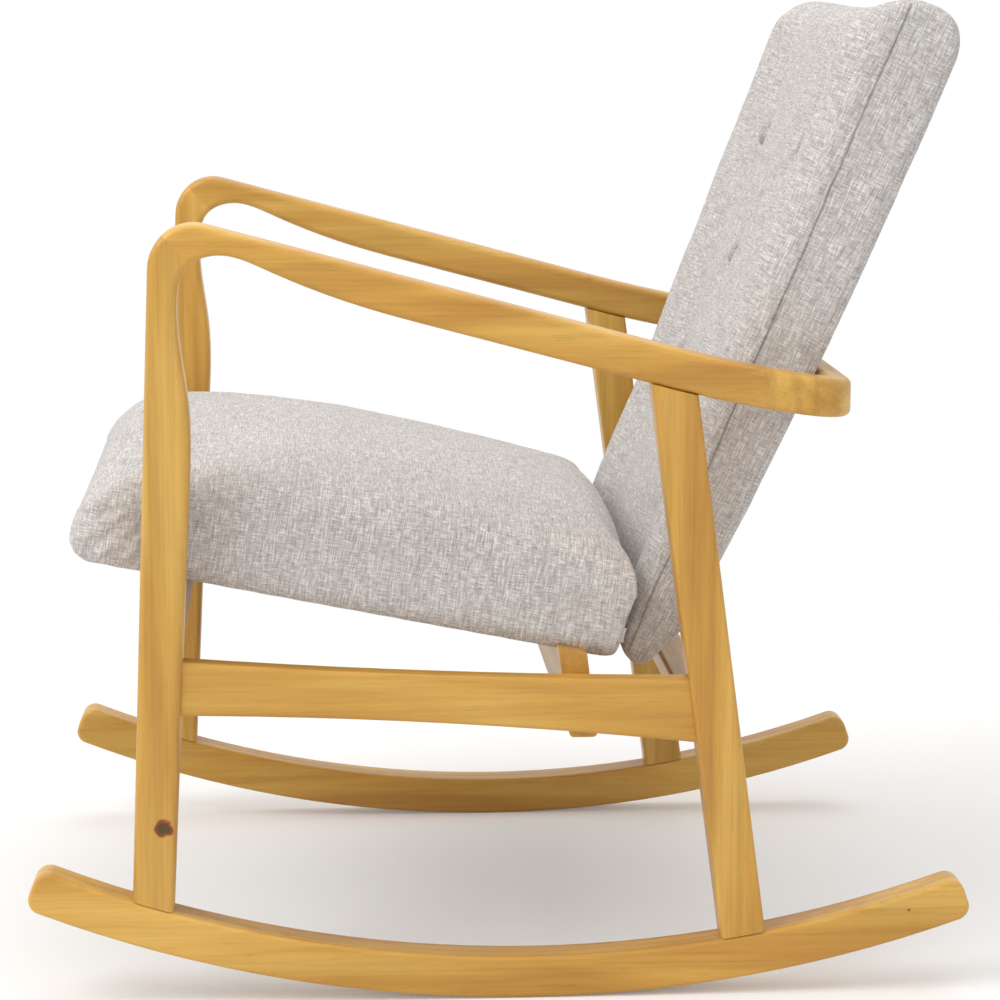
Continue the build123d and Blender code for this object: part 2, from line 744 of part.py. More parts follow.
# ---- Bow: the arm rail's rear part, wrapping round the back ----
with BuildPart() as arm_bow:
    bow_start_y = finger_joint_y - 2 * finger_length
    with BuildSketch(Plane.XY.offset(bow_top_z - 3 * bow_depth)):
        with BuildLine():
            FilletPolyline(
                (-half_width, bow_start_y),
                (-half_width, bow_rear_y),
                (half_width, bow_rear_y),
                (half_width, bow_start_y),
                radius=bow_corner_radius,
            )
            Line((half_width, bow_start_y), (inner_face_x, bow_start_y))
            FilletPolyline(
                (inner_face_x, bow_start_y),
                (inner_face_x, bow_rear_y - bow_thickness),
                (-inner_face_x, bow_rear_y - bow_thickness),
                (-inner_face_x, bow_start_y),
                radius=bow_inner_radius,
            )
            Line((-inner_face_x, bow_start_y), (-half_width, bow_start_y))
        make_face()
    extrude(amount=6 * bow_depth)
    with BuildSketch(Plane.YZ.offset(-half_width)):
        bent_rail_face()
    extrude(amount=overall_width, mode=Mode.INTERSECT)
    long_edges = arm_bow.edges().filter_by(Axis.Z, reverse=True)
    long_edges = long_edges.filter_by(lambda edge: edge.center().Y > bow_start_y + 1)
    fillet(long_edges, radius=rail_round)
    with BuildSketch(Plane.YZ.offset(-half_width)):
        behind_finger_joint(Mode.ADD)
    extrude(amount=overall_width, mode=Mode.INTERSECT)
    screw_holes(bow_screws, bow_thickness, bow_counterbore + screw_end_gap)
finish_piece(arm_bow, "arm_bow")

# ---- Cross rails ----
with BuildPart() as front_seat_rail:
    with BuildSketch(Plane.YZ.offset(-inner_face_x)):
        near_y = front_rail_y - front_rail_thickness / 2
        far_y = front_rail_y + front_rail_thickness / 2
        low_z = front_rail_top_z - front_rail_height
        high_z = front_rail_top_z + front_rail_height
        region(((near_y, low_z), (far_y, low_z), (far_y, high_z), (near_y, high_z)), Mode.ADD)
        below_seat(Mode.INTERSECT)
    extrude(amount=2 * inner_face_x)
    fillet(front_seat_rail.edges().filter_by(Axis.X).group_by(Axis.Z)[0], radius=edge_round)
    drill(front_rail_dowels, dowel_radius)
    screw_holes(front_screws, screw_length, front_rail_height - rail_grip + screw_end_gap)
finish_piece(front_seat_rail, "front_seat_rail")

with BuildPart() as rear_seat_rail:
    with BuildSketch(Plane.YZ.offset(-stretcher_inner_x)):
        rise = seat_bottom_z(seat_rail_top_y) - seat_rail_bottom_z
        run = rise * tan(radians(seat_rail_lean))
        region(
            (
                (seat_rail_top_y + run, seat_rail_bottom_z),
                (seat_rail_top_y + run + cross_rail_thickness, seat_rail_bottom_z),
                (seat_rail_top_y - run + cross_rail_thickness, seat_rail_bottom_z + 2 * rise),
                (seat_rail_top_y - run, seat_rail_bottom_z + 2 * rise),
            ),
            Mode.ADD,
        )
        below_seat(Mode.INTERSECT)
    extrude(amount=2 * stretcher_inner_x)
    fillet(rear_seat_rail.edges().filter_by(Axis.X).group_by(Axis.Z)[0], radius=edge_round)
    drill(seat_rail_dowels, small_dowel_radius)
    screw_holes(rear_screws, screw_length, rise - rail_grip + cross_rail_thickness / 2)
finish_piece(rear_seat_rail, "rear_seat_rail")

with BuildPart() as leg_rail:
    with BuildSketch(Plane.YZ.offset(-inner_face_x)):
        with Locations((leg_rail_y, leg_rail_z)):
            RectangleRounded(leg_rail_width, leg_rail_height, edge_round)
    extrude(amount=2 * inner_face_x)
    drill(leg_rail_dowels, dowel_radius)
finish_piece(leg_rail, "leg_rail")

# ---- Dowels ----
frame_dowel_places = foot_dowels + arm_dowels + elbow_dowels + front_rail_dowels + leg_rail_dowels
with BuildPart() as frame_dowels:
    pegs(frame_dowel_places, dowel_radius, dowel_length, Mode.ADD)
    chamfer(frame_dowels.edges().filter_by(GeomType.CIRCLE), length=dowel_chamfer)
finish_piece(frame_dowels, "frame_dowels")

with BuildPart() as rail_dowels:
    pegs(stretcher_dowels + seat_rail_dowels, small_dowel_radius, dowel_length, Mode.ADD)
    chamfer(rail_dowels.edges().filter_by(GeomType.CIRCLE), length=dowel_chamfer)
finish_piece(rail_dowels, "rail_dowels")

# ---- Seat frame ----
frame_half_x = seat_frame_width / 2
side_rail_x = frame_half_x - seat_frame_rail
rail_spans = {
    "front": (seat_frame_front, seat_frame_front + seat_frame_front_rail),
    "rear": (seat_frame_rear - seat_frame_rail, seat_frame_rear),
}
for name, span in rail_spans.items():
    with BuildPart() as seat_frame_end:
        slab(seat_plane, cover_thickness, seat_frame_top, (-side_rail_x, side_rail_x), span)
    finish_piece(seat_frame_end, "seat_frame_" + name)

for name, side in sides.items():
    with BuildPart() as seat_frame_side:
        x_span = (min(side * side_rail_x, side * frame_half_x), max(side * side_rail_x, side * frame_half_x))
        slab(seat_plane, cover_thickness, seat_frame_top, x_span, (seat_frame_front, seat_frame_rear))
        screw_holes(seat_screws, screw_length)
        screw_holes(bracket_screws, bracket_screw_length)
    finish_piece(seat_frame_side, "seat_frame_" + name)

# ---- Seat webbing: lengthwise straps, then crosswise straps laid over them ----
with BuildPart() as seat_webbing:
    first = -seat_webbing_spacing * (seat_webbing_count - 1) / 2
    for number in range(seat_webbing_count):
        left_x = first + number * seat_webbing_spacing - webbing_width / 2
        slab(
            seat_plane,
            seat_frame_top,
            seat_frame_top + webbing_thickness,
            (left_x, left_x + webbing_width),
            (seat_frame_front + webbing_inset, seat_frame_rear - webbing_inset),
        )
finish_piece(seat_webbing, "seat_webbing")

with BuildPart() as cross_webbing:
    first = (seat_frame_front + seat_frame_rear) / 2 - cross_webbing_spacing * (cross_webbing_count - 1) / 2
    for number in range(cross_webbing_count):
        low_y = first + number * cross_webbing_spacing - webbing_width / 2
        slab(
            seat_plane,
            seat_frame_top + webbing_thickness,
            seat_frame_top + 2 * webbing_thickness,
            (-frame_half_x + webbing_inset, frame_half_x - webbing_inset),
            (low_y, low_y + webbing_width),
        )
finish_piece(cross_webbing, "cross_webbing")

# ---- Seat foam, lining and cover ----
with BuildPart() as seat_foam:
    add(seat_block(cover_thickness + soft_clearance))
    foam_base = seat_frame_top + 2 * webbing_thickness
    slab(seat_plane, -reach, foam_base, (-reach, reach), (-reach, reach), Mode.SUBTRACT)
finish_piece(seat_foam, "seat_foam")

lining_x = frame_half_x - lining_margin
lining_y = (seat_frame_front + lining_margin, seat_frame_rear - lining_margin)
with BuildPart() as seat_lining:
    slab(seat_plane, 0, cover_thickness, (-lining_x, lining_x), lining_y)
    screw_holes(seat_screws, screw_length)
finish_piece(seat_lining, "seat_lining")


def bracket_region(grow):
    """Side view of a bracket: one leg along the seat frame and one up the back frame."""
    half = bracket_width / 2 + grow
    region(
        (
            seat_point(bracket_seat_span[0] - grow, bracket_rise - half),
            seat_point(bracket_seat_span[1] + grow, bracket_rise - half),
            seat_point(bracket_seat_span[1] + grow, bracket_rise + half),
            seat_point(bracket_seat_span[0] - grow, bracket_rise + half),
        ),
        Mode.ADD,
    )
    region(
        (
            back_point(bracket_back_span[0] - grow, back_frame_middle - half),
            back_point(bracket_back_span[1] + grow, back_frame_middle - half),
            back_point(bracket_back_span[1] + grow, back_frame_middle + half),
            back_point(bracket_back_span[0] - grow, back_frame_middle + half),
        ),
        Mode.ADD,
    )


def bracket_slots():
    """Slots that let the two brackets through a soft piece."""
    for side in sides.values():
        near_x = side * (bracket_x - hole_clearance)
        far_x = side * (bracket_x + bracket_thickness + hole_clearance)
        with BuildSketch(Plane.YZ.offset(min(near_x, far_x))) as section:
            bracket_region(hole_clearance)
        extrude(section.sketch, amount=abs(far_x - near_x), mode=Mode.SUBTRACT)


with BuildPart() as seat_cover:
    add(seat_block(0))
    add(seat_block(cover_thickness), mode=Mode.SUBTRACT)
    opening_x = (-lining_x - soft_clearance, lining_x + soft_clearance)
    opening_y = (lining_y[0] - soft_clearance, lining_y[1] + soft_clearance)
    slab(seat_plane, -cover_thickness, 2 * cover_thickness, opening_x, opening_y, Mode.SUBTRACT)
    bracket_slots()
finish_piece(seat_cover, "seat_cover")

# ---- Back frame ----
for name, side in sides.items():
    inner_x = side * (frame_half_x - back_stile_width)
    outer_x = side * frame_half_x
    with BuildPart() as back_stile:
        x_span = (min(inner_x, outer_x), max(inner_x, outer_x))
        stile_span = (back_frame_bottom, back_frame_top)
        slab(back_plane, back_frame_setback, back_frame_front, x_span, stile_span)
        screw_holes(bracket_screws, bracket_screw_length)
    finish_piece(back_stile, "back_" + name + "_stile")

bow_rail_middle = (bow_screw_z - back_base_z - back_sin * back_frame_middle) / back_cos
back_rails = {
    "top": (back_frame_top - back_rail_width, back_frame_top),
    "middle": (bow_rail_middle - bow_rail_width / 2, bow_rail_middle + bow_rail_width / 2),
    "bottom": (back_frame_bottom, back_frame_bottom + back_rail_width),
}
rail_x = frame_half_x - back_stile_width
for name, span in back_rails.items():
    with BuildPart() as back_rail:
        slab(back_plane, back_frame_setback, back_frame_front, (-rail_x, rail_x), span)
        screw_holes(bow_screws, screw_length)
    finish_piece(back_rail, "back_" + name + "_rail")

with BuildPart() as back_webbing:
    for number in range(back_webbing_count):
        middle = back_webbing_first + number * back_webbing_spacing
        slab(
            back_plane,
            back_frame_front,
            back_frame_front + webbing_thickness,
            (-frame_half_x + webbing_inset, frame_half_x - webbing_inset),
            (middle - webbing_width / 2, middle + webbing_width / 2),
        )
finish_piece(back_webbing, "back_webbing")


def twine_holes():
    """Holes that let the button twines through a soft piece."""
    for x, height in twine_places:
        with BuildSketch(back_plane.offset(back_frame_front)) as section:
            with Locations((x, height)):
                Circle(twine_radius + hole_clearance)
        extrude(section.sketch, amount=2 * back_base_thickness, mode=Mode.SUBTRACT)


# ---- Back foam, rear pad, lining and cover ----
with BuildPart() as back_foam:
    add(back_block(cover_thickness + soft_clearance))
    foam_start = back_frame_front + webbing_thickness
    slab(back_plane, -reach, foam_start, (-reach, reach), (-reach, reach), Mode.SUBTRACT)
    bracket_slots()
    twine_holes()
finish_piece(back_foam, "back_foam")

with BuildPart() as back_pad:
    add(back_block(cover_thickness + soft_clearance))
    slab(back_plane, back_frame_setback, reach, (-reach, reach), (-reach, reach), Mode.SUBTRACT)
    lower_window = (back_rails["bottom"][1], back_rails["middle"][0])
    upper_window = (back_rails["middle"][1], back_rails["top"][0])
    for span in (lower_window, upper_window):
        pad_depth = (-back_base_thickness, back_frame_setback)
        slab(back_plane, *pad_depth, (-rail_x, rail_x), span, Mode.SUBTRACT)
    screw_holes(bow_screws, screw_length)
finish_piece(back_pad, "back_pad")

heel_slope = back_heel[1] / back_heel[0]
heel_length = sqrt(back_heel[0] ** 2 + back_heel[1] ** 2)
heel_normal = (back_heel[1] / heel_length, -back_heel[0] / heel_length)


def heel_panel(margin, outer, inner):
    """Side view of the panel that closes the sloping lower end of the back."""
    low = back_lining_span[0] - margin
    high = back_lining_span[1] + margin
    corners = []
    for height, depth in ((low, outer), (high, outer), (high, inner), (low, inner)):
        corners.append(
            back_point(height + depth * heel_normal[0], height * heel_slope + depth * heel_normal[1])
        )
    region(corners, Mode.ADD)


with BuildPart() as back_lining:
    with BuildSketch(Plane.YZ.offset(-lining_x)):
        heel_panel(0, 0, cover_thickness)
    extrude(amount=2 * lining_x)
finish_piece(back_lining, "back_lining")

with BuildPart() as back_cover:
    add(back_block(0))
    add(back_block(cover_thickness), mode=Mode.SUBTRACT)
    with BuildSketch(Plane.YZ.offset(-lining_x - soft_clearance)):
        heel_panel(soft_clearance, -cover_thickness, 2 * cover_thickness)
    extrude(amount=2 * (lining_x + soft_clearance), mode=Mode.SUBTRACT)
    bracket_slots()
    twine_holes()
    screw_holes(bow_screws, screw_length)
finish_piece(back_cover, "back_cover")

# ---- Cover buttons and their twines ----
for name, places in button_places.items():
    with BuildPart() as buttons:
        for x, height in places:
            hollow = dish_depth - (dish_radius - sqrt(dish_radius**2 - x**2))
            surface = back_front(height) - hollow
            with BuildSketch(back_plane.offset(surface - button_rise)) as section:
                with Locations((x, height)):
                    Circle(button_radius)
            extrude(section.sketch, amount=2 * button_rise)
        rims = buttons.faces().sort_by(Axis(back_plane.origin, back_plane.z_dir))[-len(places):].edges()
        fillet(rims, radius=button_edge_round)
        add(dish_tool(-soft_clearance), mode=Mode.INTERSECT)
    finish_piece(buttons, name + "_buttons")

with BuildPart() as button_twines:
    for x, height in twine_places:
        with BuildSketch(back_plane.offset(back_frame_front + webbing_thickness)) as section:
            with Locations((x, height)):
                Circle(twine_radius)
        extrude(section.sketch, amount=2 * back_base_thickness)
    add(dish_tool(-soft_clearance), mode=Mode.SUBTRACT)
finish_piece(button_twines, "button_twines")

# ---- Screws and brackets ----
with BuildPart() as frame_screws:
    screws(seat_screws + bow_screws, screw_length)
finish_piece(frame_screws, "frame_screws")

with BuildPart() as seat_back_brackets:
    for side in sides.values():
        low_x = min(side * bracket_x, side * (bracket_x + bracket_thickness))
        with BuildSketch(Plane.YZ.offset(low_x)) as section:
            bracket_region(0)
        extrude(section.sketch, amount=bracket_thickness)
    for point, direction in bracket_screws:
        with BuildSketch(Plane(origin=point, z_dir=direction)) as section:
            Circle(screw_radius + screw_clearance)
        extrude(section.sketch, amount=2 * bracket_thickness, mode=Mode.SUBTRACT)
finish_piece(seat_back_brackets, "seat_back_brackets")

with BuildPart() as bracket_screw_set:
    screws(bracket_screws, bracket_screw_length)
finish_piece(bracket_screw_set, "bracket_screws")
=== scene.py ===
import json
import math

import bmesh
import bpy
import numpy as np
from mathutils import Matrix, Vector, noise


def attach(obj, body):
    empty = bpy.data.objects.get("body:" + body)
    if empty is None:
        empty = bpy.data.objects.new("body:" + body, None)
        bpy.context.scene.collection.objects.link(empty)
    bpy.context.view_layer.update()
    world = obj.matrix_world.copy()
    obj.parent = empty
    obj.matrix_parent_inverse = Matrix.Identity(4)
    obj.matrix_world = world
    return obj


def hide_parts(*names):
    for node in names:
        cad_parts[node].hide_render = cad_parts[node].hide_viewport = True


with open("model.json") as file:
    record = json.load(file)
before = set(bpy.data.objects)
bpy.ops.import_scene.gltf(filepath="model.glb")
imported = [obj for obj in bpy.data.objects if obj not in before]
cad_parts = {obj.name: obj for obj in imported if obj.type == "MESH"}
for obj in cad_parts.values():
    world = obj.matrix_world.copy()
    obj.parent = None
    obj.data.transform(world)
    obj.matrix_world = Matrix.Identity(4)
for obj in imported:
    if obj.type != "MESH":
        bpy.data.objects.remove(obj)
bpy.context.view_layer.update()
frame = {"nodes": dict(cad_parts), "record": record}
nodes = frame["nodes"]
scene = bpy.context.scene


# ---------------------------------------------------------------- camera, light and floor

def rgb(r, g, b):
    """An sRGB colour written 0-255, as the linear RGBA that Blender takes."""
    out = []
    for c in (r, g, b):
        c /= 255
        out.append(c / 12.92 if c <= 0.04045 else ((c + 0.055) / 1.055) ** 2.4)
    return (*out, 1.0)


YAW, PITCH = math.radians(3.59), math.radians(9.44)
camera_data = bpy.data.cameras.new("camera")
camera_data.sensor_width = 36
camera_data.lens = 113.65
camera = bpy.data.objects.new("camera", camera_data)
camera.location = (3.044, -0.173, 0.904)
look = Vector((-math.cos(PITCH) * math.cos(YAW),
               math.cos(PITCH) * math.sin(YAW),
               -math.sin(PITCH)))
camera.rotation_mode = "QUATERNION"
camera.rotation_quaternion = look.to_track_quat("-Z", "Y")
scene.collection.objects.link(camera)
scene.camera = camera
scene.view_settings.view_transform = "Standard"

# The room lights the chair softly. The camera and reflections see plain white instead.
ROOM_COLOUR, ROOM_STRENGTH = (1.0, 0.992, 0.982, 1), 0.62
world = bpy.data.worlds.new("studio")
scene.world = world
world.use_nodes = True
wt = world.node_tree
wt.nodes.clear()
w_out = wt.nodes.new("ShaderNodeOutputWorld")
w_room = wt.nodes.new("ShaderNodeBackground")
w_white = wt.nodes.new("ShaderNodeBackground")
w_mix = wt.nodes.new("ShaderNodeMixShader")
w_path = wt.nodes.new("ShaderNodeLightPath")
w_max = [wt.nodes.new("ShaderNodeMath") for _ in range(2)]
for m in w_max:
    m.operation = "MAXIMUM"
w_room.inputs["Color"].default_value = ROOM_COLOUR
w_room.inputs["Strength"].default_value = ROOM_STRENGTH
w_white.inputs["Color"].default_value = (1, 1, 1, 1)
w_white.inputs["Strength"].default_value = 1.0
wt.links.new(w_path.outputs["Is Camera Ray"], w_max[0].inputs[0])
wt.links.new(w_path.outputs["Is Glossy Ray"], w_max[0].inputs[1])
wt.links.new(w_max[0].outputs[0], w_max[1].inputs[0])
wt.links.new(w_path.outputs["Is Transmission Ray"], w_max[1].inputs[1])
wt.links.new(w_max[1].outputs[0], w_mix.inputs[0])
wt.links.new(w_room.outputs[0], w_mix.inputs[1])
wt.links.new(w_white.outputs[0], w_mix.inputs[2])
wt.links.new(w_mix.outputs[0], w_out.inputs[0])


def area_light(name, place, target, size, watts, colour):
    """A rectangular lamp at place that shines at target."""
    data = bpy.data.lights.new(name, "AREA")
    data.shape = "RECTANGLE"
    data.size, data.size_y = size
    data.energy = watts
    data.color = colour
    lamp = bpy.data.objects.new(name, data)
    lamp.location = place
    lamp.rotation_mode = "QUATERNION"
    lamp.rotation_quaternion = (Vector(target) - Vector(place)).to_track_quat("-Z", "Y")
    scene.collection.objects.link(lamp)


area_light("key", (1.3, -2.4, 3.0), (0, 0, 0.45), (2.4, 2.0), 64, (1.0, 0.99, 0.975))
area_light("overhead", (-0.3, 0.3, 3.4), (0, 0, 0.4), (3.0, 3.0), 34, (1.0, 0.99, 0.98))
area_light("side", (3.6, 0.9, 1.6), (0, 0, 0.45), (2.2, 1.6), 13, (1.0, 0.99, 0.98))


def new_object(name, bm):
    """Turns bm into a mesh object of the scene, and frees it."""
    mesh = bpy.data.meshes.new(name)
    bm.to_mesh(mesh)
    bm.free()
    obj = bpy.data.objects.new(name, mesh)
    scene.collection.objects.link(obj)
    return obj


FLOOR_HALF_WIDTH = 45
floor_grid = bmesh.new()
bmesh.ops.create_grid(floor_grid, x_segments=1, y_segments=1, size=FLOOR_HALF_WIDTH)
floor = new_object("floor", floor_grid)


# ---------------------------------------------------------------- material helpers

class Tree:
    """A short way to write a node tree."""

    def __init__(self, name):
        self.material = bpy.data.materials.new(name)
        self.material.use_nodes = True
        self.tree = self.material.node_tree
        self.tree.nodes.clear()
        self.out = self.tree.nodes.new("ShaderNodeOutputMaterial")

    def node(self, kind, inputs=None, **settings):
        made = self.tree.nodes.new("ShaderNode" + kind)
        for key, value in settings.items():
            setattr(made, key, value)
        for key, value in (inputs or {}).items():
            socket = made.inputs[key]
            if isinstance(value, bpy.types.NodeSocket):
                self.tree.links.new(value, socket)
            else:
                socket.default_value = value
        return made

    def math(self, operation, a, b=0.0):
        return self.node("Math", {0: a, 1: b}, operation=operation).outputs[0]

    def mix(self, factor, a, b, blend="MIX"):
        made = self.node("Mix", {0: factor, 6: a, 7: b}, data_type="RGBA", blend_type=blend)
        return made.outputs[2]

    def ramp(self, value, stops):
        """A colour for each value; stops are (value, colour) pairs."""
        made = self.node("ValToRGB", {0: value})
        ramp = made.color_ramp
        while len(ramp.elements) < len(stops):
            ramp.elements.new(0.5)
        for element, (position, colour) in zip(ramp.elements, stops):
            element.position = position
            element.color = colour if len(colour) == 4 else (*colour, 1)
        return made.outputs[0]

    def noise(self, vector, scale, detail=2.0, roughness=0.5, distortion=0.0):
        made = self.node("TexNoise", {"Vector": vector, "Scale": scale, "Detail": detail,
                                      "Roughness": roughness, "Distortion": distortion})
        return made.outputs["Fac"]

    def surface(self, shader):
        self.tree.links.new(shader, self.out.inputs["Surface"])
        return self.material


def grey(v):
    """A linear grey, mostly used to darken or lighten another colour."""
    return (v, v, v, 1)


def place_coordinates(t, rotation=(0, 0, 0), scale=(1, 1, 1), offset=(0, 0, 0)):
    """Object coordinates turned into a member's own directions, then stretched."""
    coordinates = t.node("TexCoord").outputs["Object"]
    turned = t.node("Mapping", {"Vector": coordinates, "Rotation": rotation}, vector_type="POINT")
    moved = t.node("Mapping", {"Vector": turned.outputs[0], "Scale": scale, "Location": offset})
    return moved.outputs[0]


# Colours from the dark to the light grain, as sRGB
LACQUERED = (190, 136, 54), (209, 158, 68), (226, 181, 90)
RAW = (190, 158, 116), (208, 178, 138), (220, 194, 156)
KNOT_RIM = rgb(196, 128, 60)
LEAST_COATED_GLOSS = 0.2


def wood(name, turn, seed, tint=1.0, knots=(), raw=False, gloss=0.42):
    """Honey-coloured hardwood, or raw wood. turn brings the member's length onto X.

    knots are (place, radius, darkness) each. A member of low gloss has no lacquer coat.
    """
    t = Tree(name)
    shift = (seed * 1.37, seed * 0.73, seed * 2.11)
    slow, fine, pore, figure = [
        place_coordinates(t, turn, scale, shift)
        for scale in ((1.6, 16, 16), (7, 330, 330), (42, 900, 900), (1.0, 9, 9))
    ]
    colours = RAW if raw else LACQUERED
    low, mid, high = [[c * tint for c in rgb(*colour)[:3]] for colour in colours]
    tone = t.noise(slow, 1.5, 3.0, 0.55, 0.4)
    base = t.ramp(tone, [(0.30, low), (0.50, mid), (0.72, high)])
    rings = t.node("TexWave", {"Vector": figure, "Scale": 1.7, "Distortion": 5.5, "Detail": 2.5,
                               "Detail Scale": 1.2, "Detail Roughness": 0.55},
                   wave_type="BANDS", bands_direction="Y", wave_profile="SIN").outputs["Fac"]
    ring_shade = t.ramp(rings, [(0.0, grey(0.90)), (0.45, grey(1.0)), (1.0, grey(1.03))])
    base = t.mix(0.85, base, ring_shade, "MULTIPLY")
    streak = t.noise(fine, 1.0, 4.0, 0.6)
    streak_shade = t.ramp(streak, [(0.30, grey(0.86)), (0.52, grey(1.0)), (0.75, grey(1.06))])
    base = t.mix(0.9, base, streak_shade, "MULTIPLY")
    dash = t.noise(pore, 1.0, 1.0, 0.4)
    dash_shade = t.ramp(dash, [(0.24, grey(0.72)), (0.34, grey(1.0))])
    base = t.mix(0.55, base, dash_shade, "MULTIPLY")
    for place, radius, darkness in knots:
        spot = t.node("TexCoord").outputs["Object"]
        centre = tuple(-c for c in place)
        away = t.node("Mapping", {"Vector": spot, "Location": centre}).outputs[0]
        wobble = t.noise(away, 160.0, 2.0)
        length = t.node("VectorMath", {0: away}, operation="LENGTH").outputs["Value"]
        near = t.math("DIVIDE", length, radius)
        near = t.math("ADD", near, t.math("MULTIPLY", t.math("SUBTRACT", wobble, 0.5), 0.7))
        halo = t.ramp(near, [(0.0, grey(darkness)), (0.55, grey(darkness)), (0.85, KNOT_RIM),
                             (1.0, grey(1.0))])
        base = t.mix(1.0, base, halo, "MULTIPLY")
    rough = t.ramp(streak, [(0.3, grey(0.46)), (0.7, grey(0.36))])
    height = t.math("ADD", t.math("MULTIPLY", streak, 0.6), t.math("MULTIPLY", dash, 0.4))
    bump = t.node("Bump", {"Height": height, "Strength": 0.16, "Distance": 0.0006}).outputs[0]
    shader = t.node("BsdfPrincipled", {"Base Color": base, "Roughness": rough, "Normal": bump,
                                       "Specular IOR Level": gloss})
    if not raw and gloss > LEAST_COATED_GLOSS:
        shader.inputs["Coat Weight"].default_value = 0.12
        shader.inputs["Coat Roughness"].default_value = 0.25
    return t.surface(shader.outputs[0])


# Fine and coarse threads: threads a metre, slubs a metre along them, and a shift of the noise
THREADS = (1700.0, 120.0, 0.0), (950.0, 60.0, 3.1)
# Painted shade for the dip of the back's seam
SEAM_PAINTED_SHADE = rgb(92, 84, 80)


def weave(name, tilt, light=(238, 236, 234), dark=(150, 143, 140), seed=0.0, seam=None):
    """Slub linen weave in a frame tilted about X, its threads running with each panel.

    seam is a line on the two side panels: its depth at the base, and its depth for each metre up.
    Its groove is bumped, and darkened with painted shade.
    """
    t = Tree(name)
    turn = (tilt, 0, 0)
    coordinates = t.node("TexCoord").outputs["Object"]
    local = t.node("Mapping", {"Vector": coordinates, "Rotation": turn},
                   vector_type="POINT").outputs[0]
    normal = t.node("NewGeometry").outputs["Normal"]
    normal = t.node("Mapping", {"Vector": normal, "Rotation": turn},
                    vector_type="VECTOR").outputs[0]
    place = t.node("SeparateXYZ", {0: local}).outputs
    facing = [t.math("ABSOLUTE", s) for s in t.node("SeparateXYZ", {0: normal}).outputs]
    sideways = t.math("GREATER_THAN", facing[0], t.math("MAXIMUM", facing[1], facing[2]))
    flat = t.math("GREATER_THAN", facing[2], facing[1])
    across = t.node("Mix", {0: sideways, 2: place[0], 3: place[2]}).outputs[0]
    along_rest = t.node("Mix", {0: flat, 2: place[2], 3: place[1]}).outputs[0]
    along = t.node("Mix", {0: sideways, 2: along_rest, 3: place[1]}).outputs[0]
    sets = []
    for u, v, shift in ((across, along, seed), (along, across, seed + 7.3)):
        layers = []
        for pitch, run, step in THREADS:
            vector = t.node("CombineXYZ", {0: t.math("MULTIPLY", u, pitch),
                                           1: t.math("MULTIPLY", v, run),
                                           2: shift + step}).outputs[0]
            layers.append(t.noise(vector, 1.0, 1.0, 0.5))
        sets.append(t.math("ADD", t.math("MULTIPLY", layers[0], 0.6),
                           t.math("MULTIPLY", layers[1], 0.4)))
    both = t.math("MULTIPLY", t.math("ADD", sets[0], sets[1]), 0.5)
    middle = [(a + b) / 2 for a, b in zip(light, dark)]
    pick = t.ramp(both, [(0.36, rgb(*dark)), (0.50, rgb(*middle)), (0.62, rgb(*light))])
    cloud = t.noise(local, 9.0, 2.0)
    pick = t.mix(0.5, pick, t.ramp(cloud, [(0.3, grey(0.96)), (0.7, grey(1.03))]), "MULTIPLY")
    height = both
    if seam:
        line = t.math("ADD", seam[0], t.math("MULTIPLY", place[2], seam[1]))
        wander = t.math("MULTIPLY", t.math("SUBTRACT", t.noise(local, 22.0, 1.0), 0.5), 0.004)
        gap = t.math("ABSOLUTE", t.math("ADD", t.math("ADD", place[1], line), wander))
        groove = t.node("MapRange", {0: gap, 1: 0.0003, 2: 0.0015, 3: 1.0, 4: 0.0}).outputs[0]
        groove = t.math("MULTIPLY", groove, t.math("GREATER_THAN", facing[0], 0.72))
        # The seam's groove gets painted shade, as well as the dip in the bump below
        pick = t.mix(t.math("MULTIPLY", groove, 0.55), pick, SEAM_PAINTED_SHADE)
        height = t.math("SUBTRACT", both, t.math("MULTIPLY", groove, 1.2))
    bump = t.node("Bump", {"Height": height, "Strength": 0.5, "Distance": 0.0011}).outputs[0]
    shader = t.node("BsdfPrincipled", {"Base Color": pick, "Roughness": 0.93, "Normal": bump,
                                       "Specular IOR Level": 0.2, "Sheen Weight": 0.18,
                                       "Sheen Roughness": 0.5})
    return t.surface(shader.outputs[0])


def plain_cloth(name, colour, pitch, contrast=0.25):
    """A small even weave, for linings, webbing and twine."""
    t = Tree(name)
    vector = place_coordinates(t)
    first, second = [
        t.node("TexWave", {"Vector": vector, "Scale": pitch}, bands_direction=axis).outputs["Fac"]
        for axis in "XY"
    ]
    fuzz = t.noise(vector, pitch * 1.7, 3.0)
    both = t.math("MULTIPLY", t.math("ADD", t.math("ADD", first, second), fuzz), 0.33)
    shade = t.ramp(both, [(0.2, grey(1 - contrast)), (0.8, grey(1 + contrast))])
    base = t.mix(1.0, rgb(*colour), shade, "MULTIPLY")
    bump = t.node("Bump", {"Height": both, "Strength": 0.4, "Distance": 0.0005}).outputs[0]
    shader = t.node("BsdfPrincipled", {"Base Color": base, "Roughness": 0.9, "Normal": bump,
                                       "Specular IOR Level": 0.25})
    return t.surface(shader.outputs[0])


def zinc(name):
    """Zinc-plated steel with fine scratches."""
    t = Tree(name)
    vector = place_coordinates(t, (0, 0, 0), (900, 900, 60))
    scratch = t.noise(vector, 1.0, 3.0)
    base = t.ramp(scratch, [(0.3, rgb(168, 170, 172)), (0.7, rgb(202, 204, 206))])
    rough = t.ramp(scratch, [(0.3, grey(0.28)), (0.7, grey(0.42))])
    shader = t.node("BsdfPrincipled", {"Base Color": base, "Roughness": rough, "Metallic": 1.0})
    return t.surface(shader.outputs[0])


